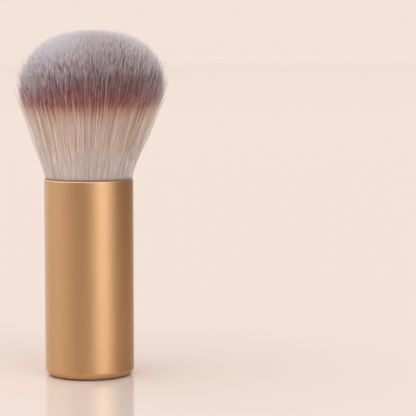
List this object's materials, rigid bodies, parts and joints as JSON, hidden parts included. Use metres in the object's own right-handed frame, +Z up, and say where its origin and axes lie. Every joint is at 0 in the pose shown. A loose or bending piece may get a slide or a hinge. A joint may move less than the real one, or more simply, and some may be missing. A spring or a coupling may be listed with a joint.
{
  "type": "acrylic nail brush",
  "caption": "Short-handled powder brush: round metal cup handle that stands on its base, and a wide domed tuft of soft three-tone filaments that bends and springs back",
  "frame": {"origin": "centre of the handle's base, on the surface that the brush stands on", "axes": "+Z up along the brush from the base to the top of the tuft; the tuft bends about X; the brush is round, so any side can be the front"},
  "size_m": [0.039, 0.039, 0.0897],
  "materials": {
    "anodised_shell": "satin",
    "steel": "satin",
    "moulded_core": "matte",
    "adhesive": "gloss",
    "resin": "gloss",
    "thread": "matte",
    "filaments": "matte"
  },
  "bodies": {
    "handle": {"handle_shell": "anodised_shell", "weight_adhesive": "adhesive", "base_weight": "steel", "inner_core": "moulded_core", "core_adhesive": "adhesive", "root_resin": "resin", "hair_roots": "filaments", "binding_thread": "thread"},
    "tuft": {"hair_tuft": "filaments"}
  },
  "joints": [
    {"name": "tuft_bend", "type": "hinge", "parent": "handle", "child": "tuft", "pos_m": [0, 0, 0.048], "axis": [1, 0, 0], "range_deg": [-20, 20], "stiffness_Nm_per_rad": 0.08}
  ]
}
